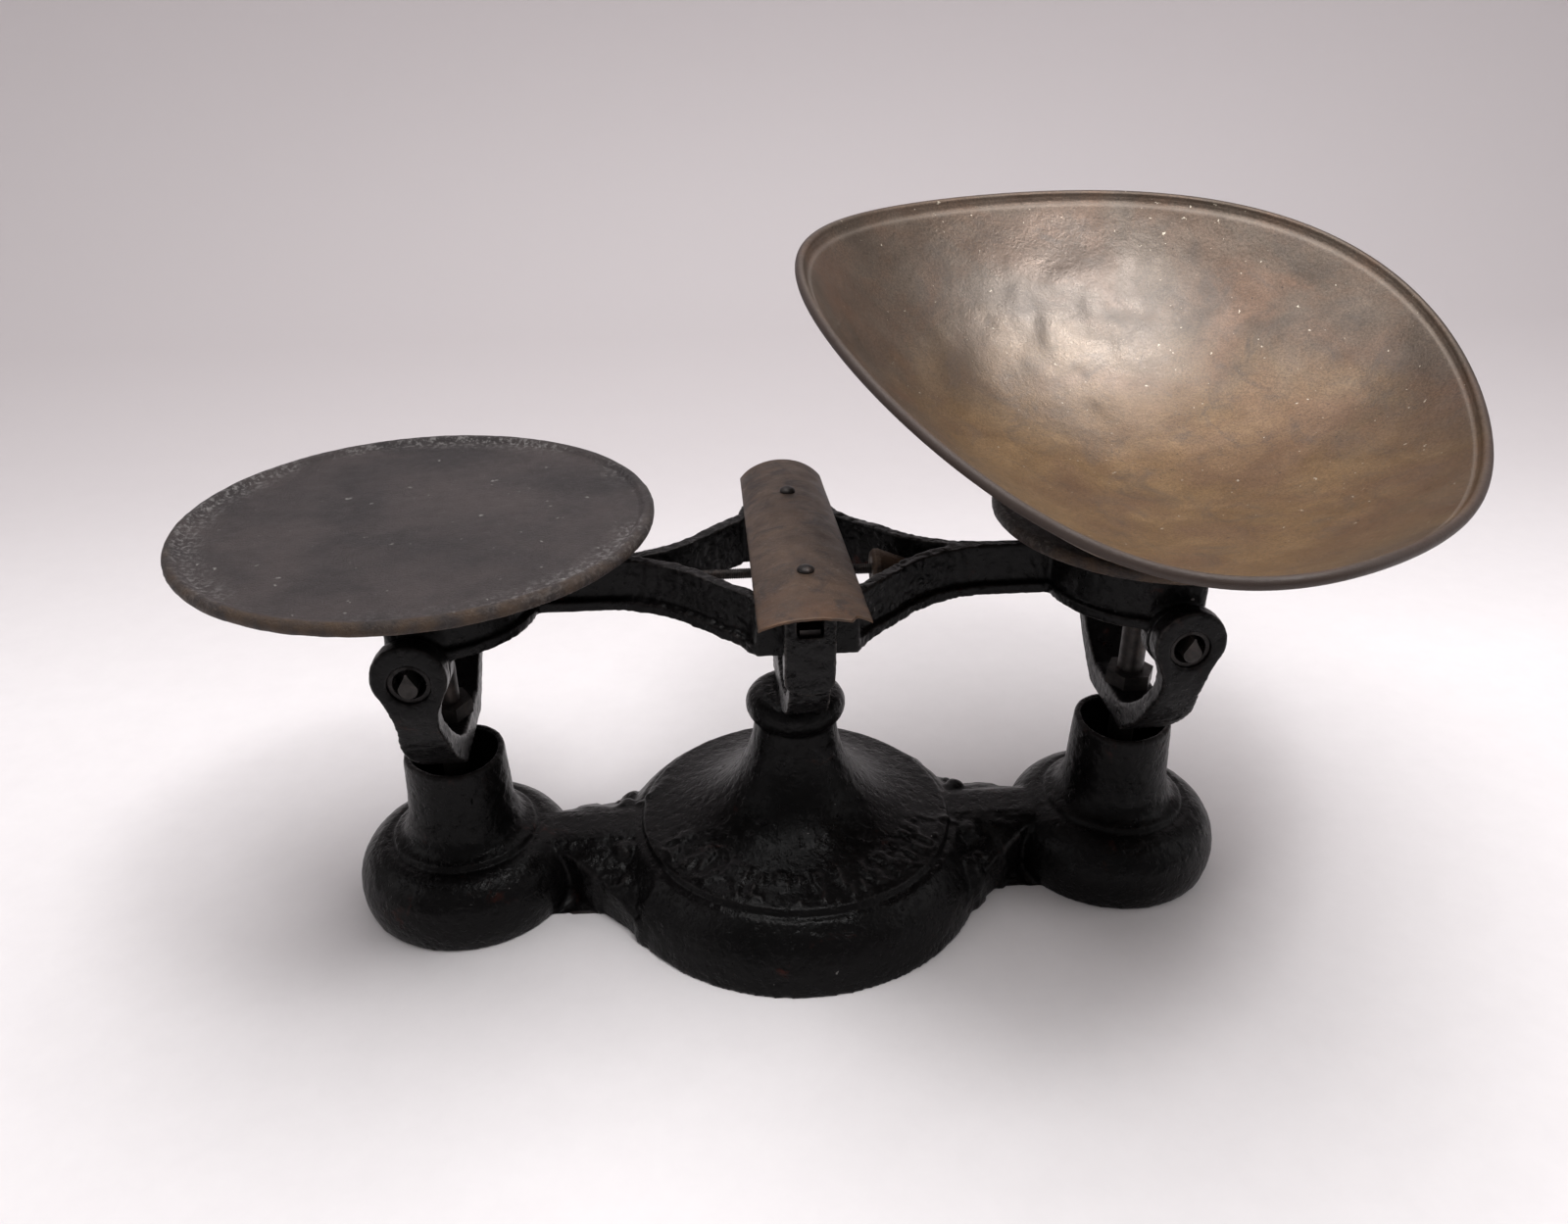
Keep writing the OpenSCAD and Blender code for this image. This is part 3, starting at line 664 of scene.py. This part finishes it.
def add_iron():
    """Every black casting gets a rounded, grainy skin."""
    voxel = 0.0009
    base = recast("base_skin", "base_casting", voxel, 2, CAST_LAYERS, 0, relief=base_surface)
    finish_piece(base, IRON, "base", "base_casting")
    stand = recast("stand_skin", "fulcrum_stand", 0.0006, 3, COARSE_LAYERS, 7, share=slot_grain)
    finish_piece(stand, STAND_IRON, "base", "fulcrum_stand")
    lobes = [lobe(sx, sy) for sx in (-1, 1) for sy in (-1, 1)]
    beam = recast("beam_skin", "beam", 0.0007, 2, CAST_LAYERS, 11, lobes, rail_grain)
    finish_piece(beam, IRON, "beam", "beam")
    for side in ("left", "right"):
        node = f"{side}_stirrup"
        piece = recast(f"{side}_hanger_skin", node, 0.0006, 10, CAST_LAYERS, 17)
        finish_piece(piece, HANGER_IRON, f"{side}_hanger", node)


def add_trays():
    """The plate and the platform."""
    for node, body in (("left_plate", "left_hanger"), ("right_platform", "right_hanger")):
        material = worn_tray(f"{node}_iron", middle(node), size(node).x / 2)
        piece = recast(f"{node}_skin", node, 0.0008, 3, CAST_LAYERS[:2], 23)
        finish_piece(piece, material, body, node)


# --------------------------------------------------------------- the scoop


def fitted(points, node):
    """Moves and scales points so that they fill a CAD node's box."""
    low, high = (np.array(corner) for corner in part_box(node))
    share = (points - points.min(axis=0)) / np.ptp(points, axis=0)
    return low + share * (high - low)


def across(first, second):
    """Unit vectors square to two fields of vectors."""
    out = np.cross(first, second)
    return out / np.linalg.norm(out, axis=-1, keepdims=True)


# In millimetres about the middle of the rim, which is a tipped egg with a wave round it
SCOOP_REACH = (139.0, 115.0)
SCOOP_LOW = (4.2, -6.0, -57.9)
SCOOP_TURN = math.radians(-95.3)
SCOOP_TAPER = -0.38
SCOOP_TIP = (math.tan(math.radians(-10.7)), math.tan(math.radians(-5.2)))
SCOOP_WAVE = (5.2, 1.7, 5.0)
SCOOP_HOLLOW = 2.3
SCOOP_SHEET = 1.0
SCOOP_BEAD = 1.9
# Middle of the hammer marks and of the scoop's painted highlight
SCOOP_SPOT = (-4.0, 73.0, 7.0)
# Dents and hammer marks as layers of (lump size in metres, depth in millimetres)
SCOOP_DENTS = [(0.034, 1.1), (0.015, 0.55), (0.007, 0.16)]
HAMMER_MARKS = [(0.0115, 1.7), (0.0052, 0.7)]
# The step below the rim, as shares of the way from bottom to rim
STEP_RISE = (0.981, 0.988)
STEP_FALL = (0.99, 1.0)
# Where the painted highlight runs along the step
STEP_LINE = 0.982
STEP_HEIGHT = 0.4


def scoop_rim(w):
    """The rim's points at angles w."""
    u = SCOOP_REACH[0] * np.cos(w)
    v = SCOOP_REACH[1] * np.sin(w) * (1 + SCOOP_TAPER * np.cos(w))
    twice, thrice, skew = SCOOP_WAVE
    wave = twice * np.cos(2 * w) + thrice * np.cos(3 * w) + skew * np.sin(3 * w)
    return np.stack(
        [
            u * math.cos(SCOOP_TURN) - v * math.sin(SCOOP_TURN),
            u * math.sin(SCOOP_TURN) + v * math.cos(SCOOP_TURN),
            SCOOP_TIP[0] * u + SCOOP_TIP[1] * v + wave,
        ],
        axis=-1,
    )


def scoop_inside(w, f):
    """The smooth inside at angles w and shares f of the way from bottom to rim."""
    low = np.array(SCOOP_LOW)
    rim = scoop_rim(w) - low
    inside = np.empty((len(f), len(w), 3))
    inside[..., :2] = rim[None, :, :2] * f[:, None, None]
    inside[..., 2] = rim[None, :, 2] * (f[:, None] ** SCOOP_HOLLOW)
    return inside + low


def scoop_dents(inside, f):
    """Depth of the dents in the sheet and of the step just below its rim."""
    flat = inside.reshape(-1, 3) * MM
    dent = rough(flat, SCOOP_DENTS, 31)
    near = np.linalg.norm((flat - np.array(SCOOP_SPOT) * MM) * (0.8, 1, 1), axis=1)
    dent += smooth_fall(near, 0.025, 0.05) * rough(flat, HAMMER_MARKS, 41)
    dent = dent.reshape(inside.shape[:2]) * smooth_step(1 - f, 0.0, 0.12)[:, None]
    step = STEP_HEIGHT * (smooth_step(f, *STEP_RISE) - smooth_step(f, *STEP_FALL))
    return dent + step[:, None]


def scoop_bead(edge, count):
    """Rings of the sheet's edge, rolled outwards into a bead."""
    away = edge - np.array(SCOOP_LOW)
    away[:, 2] = 0
    away /= np.linalg.norm(away, axis=1, keepdims=True)
    up = np.array([0, 0, 1])
    centre = edge + SCOOP_BEAD * away
    rings = []
    for i in range(1, count):
        a = math.radians(180 - 262 * i / count)
        rings.append(centre + SCOOP_BEAD * (math.cos(a) * away + math.sin(a) * up))
    return np.array(rings)


def add_scoop():
    """Thin sheet with dents, a step below its rim and a rolled bead."""
    sides, rings, bead = ((288, 64, 14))
    f = np.concatenate([[0.012], np.linspace(0.03, 0.94, rings), np.linspace(0.946, 1, 20)])
    inside = scoop_inside(turns_of(sides), f)
    round_way = np.roll(inside, -1, axis=1) - np.roll(inside, 1, axis=1)
    out = across(round_way, np.gradient(inside, axis=0))
    inside += out * scoop_dents(inside, f)[..., None]
    back = (inside + out * SCOOP_SHEET)[::-1][1:]
    roll = scoop_bead(inside[-1], bead)
    rows = np.concatenate([inside, roll, back])
    ends = [inside[0].mean(axis=0), back[-1].mean(axis=0)]
    points = np.concatenate([rows.reshape(-1, 3), ends])
    faces = ring_faces(len(rows), sides) + end_fans(len(rows), sides)
    piece = new_piece("scoop_sheet", fitted(points, "scoop"), faces)
    # What the brass reads: 1 round the bead, and 1 on the line along the step, where a painted
    # highlight runs
    rolled = smooth_step(np.arange(len(roll)) / bead, 0.1, 0.4)
    lip = np.concatenate([np.zeros(len(f)), rolled, np.zeros(len(back))])
    along_step = ridge(f, STEP_LINE, 0.004)
    line = np.concatenate([along_step, np.zeros(len(roll)), along_step[::-1][1:]])
    for name, share in (("lip", lip), ("line", line)):
        values = np.concatenate([np.repeat(share, sides), [0.0, 0.0]])
        field = piece.data.attributes.new(name, "FLOAT", "POINT")
        field.data.foreach_set("value", values.astype(np.float32))
    # The middle of the brass's painted highlight and smoother patch
    rubbed_and_sheen = middle("scoop") + Vector(SCOOP_SPOT) * MM + Vector((0, 0, 0.015))
    brass = old_brass("old_brass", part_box("scoop")[0].z, rubbed_and_sheen)
    finish_piece(piece, brass, "scoop", "scoop")


# ------------------------------------------------------- the cover and its nut

# Half width and rise of the cover's arch at its front and its back
COVER_HALF = (0.0184, 0.0166)
COVER_RISE = (0.0038, 0.0078)
COVER_SHEET = 0.0008
CHIP_DEPTH = 0.0035
SCREW_Y = 0.0352
THREAD_PITCH = 0.0008
THREAD_DEPTH = 0.00032
NUT_PLAY = 0.00005
KNURLED_LENGTH = 0.0032
KNURL_DEPTH = 0.00025
KNURL_COUNT = 32


def cover_top(rows, columns):
    """Points of the cover's top, row by row from its front to its back."""
    low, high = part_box("cover")
    u = np.linspace(-1, 1, columns)
    t = np.linspace(0, 1, rows)[:, None]
    x = np.interp(t, (0, 1), COVER_HALF) * u
    rise = np.interp(t, (0, 1), COVER_RISE)
    z = high.z - rise * (1 - np.sqrt(np.clip(1 - 0.75 * u**2, 0, 1))) / 0.5
    front = x[0]
    wear = noise(np.stack([front, front * 0, front * 0], axis=-1), 0.003, 3)
    chip = CHIP_DEPTH * smooth_step(front, 0.011, 0.0135) + 0.0005 * wear
    y = low.y + 0.0004 + np.clip(chip, 0, 1) * (1 - t) + t * size("cover").y
    top = np.stack([x, np.minimum(y, high.y), z], axis=-1).reshape(-1, 3)
    from_screw = np.hypot(top[:, 0], np.abs(top[:, 1]) - SCREW_Y)
    dent = rough(top, [(0.026, 0.0004), (0.009, 0.00016)], 53) * smooth_step(from_screw, 0.005, 0.014)
    top[:, 2] -= np.abs(dent)
    return top


def sheet_faces(rows, columns):
    """Faces of a closed sheet: a grid of top points, then the same grid below."""
    faces, below = [], rows * columns
    for i in range(rows - 1):
        for j in range(columns - 1):
            a = i * columns + j
            quad = (a, a + 1, a + 1 + columns, a + columns)
            faces.append(quad)
            faces.append(tuple(below + k for k in quad[::-1]))
    border = list(range(columns))
    border += [i * columns + columns - 1 for i in range(1, rows)]
    border += [(rows - 1) * columns + j for j in range(columns - 2, -1, -1)]
    border += [i * columns for i in range(rows - 2, 0, -1)]
    for a, b in zip(border, border[1:] + border[:1]):
        faces.append((b, a, below + a, below + b))
    return faces


def add_cover():
    """Thin arched sheet, flatter and wider in front, bruised and chipped."""
    rows, columns = 150, 48
    top = cover_top(rows, columns)
    points = np.concatenate([top, top - np.array([0, 0, COVER_SHEET])])
    piece = new_piece("bruised_cover", points, sheet_faces(rows, columns))
    finish_piece(piece, COPPER, "beam", "cover")


def add_balance_rod():
    """A rod along X with a thread all the way."""
    length, radius = size("balance_rod").x, size("balance_rod").z / 2
    sides, rings_a_turn = 20, 6
    count = int(length / THREAD_PITCH * rings_a_turn)
    w = turns_of(sides)
    x = np.linspace(-length / 2, length / 2, count)
    phase = x[:, None] / THREAD_PITCH + w[None, :] / (2 * math.pi)
    r = radius - THREAD_DEPTH * np.abs(2 * (phase % 1) - 1)
    rows = np.stack([np.repeat(x[:, None], sides, 1), r * np.cos(w), r * np.sin(w)], axis=-1)
    points = np.concatenate([rows.reshape(-1, 3), [[x[0], 0, 0], [x[-1], 0, 0]]])
    points += np.array(middle("balance_rod"))
    piece = new_piece("threaded_rod", points, ring_faces(count, sides) + end_fans(count, sides))
    finish_piece(piece, DARK_STEEL, "beam", "balance_rod")


def add_balance_nut():
    """The knurled cone that screws along the rod: a loop of points turned about X."""
    low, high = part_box("balance_nut")
    length, radius = high.x - low.x, (high.z - low.z) / 2
    bore = size("balance_rod").z / 2 + NUT_PLAY
    profile = [(0, bore), (0, radius * 0.86), (0.0008, radius * 0.97)]
    profile += [(x, radius) for x in np.linspace(0.001, 0.0029, 6)]
    profile.append((KNURLED_LENGTH, radius * 0.97))
    cone = length - KNURLED_LENGTH - 0.0004
    for t in np.linspace(0.05, 1, 14):
        profile.append((KNURLED_LENGTH + cone * t, radius * (0.96 - 0.48 * t)))
    profile += [(length, radius * 0.44), (length, bore)]
    sides = 96
    w = turns_of(sides)
    notch = KNURL_DEPTH * (0.5 + 0.5 * np.cos(KNURL_COUNT * w))
    rows = []
    for x, r in profile:
        knurled = r > radius * 0.9 and x < KNURLED_LENGTH + 0.0008
        around = r - notch if knurled else np.full(sides, r)
        rows.append(np.stack([np.full(sides, x), around * np.cos(w), around * np.sin(w)], axis=-1))
    points = np.concatenate(rows) + np.array([low.x, 0, middle("balance_nut").z])
    piece = new_piece("knurled_nut", points, ring_faces(len(rows), sides, True))
    finish_piece(piece, COPPER, "balance_nut", "balance_nut")


# ------------------------------------------------------------ carried-over parts


def add_small_parts():
    """Carried-over CAD parts get softened edges, and steel or iron looks."""
    words = ("screw", "nut", "spindle", "pin", "washer", "cover_posts")
    steels = [node for node in frame["nodes"] if "knife" in node or node.endswith("_bearing")]
    darks = [node for node in frame["nodes"] if any(word in node for word in words)]
    for node in steels + darks:
        soften(node, 0.0003)
    for node in ("tare_weight", "check_link"):
        soften(node, 0.0008)
    for node, piece in frame["nodes"].items():
        material = IRON
        if node in steels:
            material = STEEL
        if node in darks:
            material = DARK_STEEL
        piece.data.materials.clear()
        piece.data.materials.append(material)


# ------------------------------------------------------------------- stage


def add_stage():
    """A pale floor that sweeps up behind the scale to a wall, painted darker towards the back as
    shade.
    """
    n = Nodes("studio_floor")
    speck = n.range(n.noise(60, 6, 0.7), 0.35, 0.7, 0.0, 1.0)
    paper = n.mix(speck, (0.81, 0.785, 0.793), (0.835, 0.81, 0.818))
    # Painted shade: the paper darkens from the back of the floor up the wall
    wall = n.range(n.axes()[1], 0.15, 0.6, 0.0, 1.0)
    n.finish(n.mix(wall, paper, (0.49, 0.455, 0.463)), 0.6)
    front, back, rise, half_width = -2.2, 0.75, 1.6, 3.0
    sweep, steps = 0.35, 12
    outline = [(front, 0.0), (back - sweep, 0.0)]
    for i in range(1, steps + 1):
        a = math.radians(90 * i / steps)
        outline.append((back - sweep + sweep * math.sin(a), sweep - sweep * math.cos(a)))
    outline.append((back, rise))
    points = [(side * half_width, y, z) for y, z in outline for side in (-1, 1)]
    faces = [(2 * i, 2 * i + 1, 2 * i + 3, 2 * i + 2) for i in range(len(outline) - 1)]
    floor = new_piece("studio_floor", points, faces)
    floor.data.materials.append(n.material)


def add_light(name, place, sides, power, colour):
    """A soft rectangular light that faces the middle of the scale."""
    data = bpy.data.lights.new(name, "AREA")
    data.shape = "RECTANGLE"
    data.size, data.size_y = sides
    data.energy = power
    data.color = colour
    lamp = bpy.data.objects.new(name, data)
    lamp.location = place
    way = Vector((0, 0, 0.1)) - Vector(place)
    lamp.rotation_euler = way.to_track_quat("-Z", "Y").to_euler()
    bpy.context.scene.collection.objects.link(lamp)


def add_lights():
    """Light as in a white photo tent: a small lamp and a broad one above, soft sides."""
    add_light("key", (0.3, -0.27, 1.3), (0.3, 0.22), 3.4, (1.0, 0.99, 0.995))
    add_light("top", (0.1, 0.1, 1.5), (1.4, 1.4), 23.2, (1.0, 0.985, 0.988))
    add_light("right", (1.3, -0.3, 0.8), (0.9, 0.9), 2.6, (1.0, 0.975, 0.98))
    add_light("left", (-1.3, -0.2, 0.8), (0.9, 0.9), 2.6, (1.0, 0.975, 0.98))
    world = bpy.data.worlds.new("tent")
    world.use_nodes = True
    background = world.node_tree.nodes["Background"]
    background.inputs["Color"].default_value = (0.9, 0.86, 0.87, 1)
    background.inputs["Strength"].default_value = 0.27
    bpy.context.scene.world = world


def add_camera():
    """A camera in front of the scale and a little left, looking down at it."""
    data = bpy.data.cameras.new("camera")
    data.lens = 27.89
    data.sensor_width = 36.0
    data.clip_start = 0.01
    camera = bpy.data.objects.new("camera", data)
    camera.location = (-0.0383, -0.4013, 0.3334)
    down, turn, roll = 27.95, 4.9, 0.13
    camera.rotation_euler = (
        math.radians(90 - down),
        math.radians(roll),
        math.radians(-turn),
    )
    bpy.context.scene.collection.objects.link(camera)
    bpy.context.scene.camera = camera


add_iron()
add_trays()
add_small_parts()
add_scoop()
add_cover()
add_balance_rod()
add_balance_nut()
add_stage()
add_lights()
add_camera()

bpy.context.scene.view_settings.view_transform = "Standard"
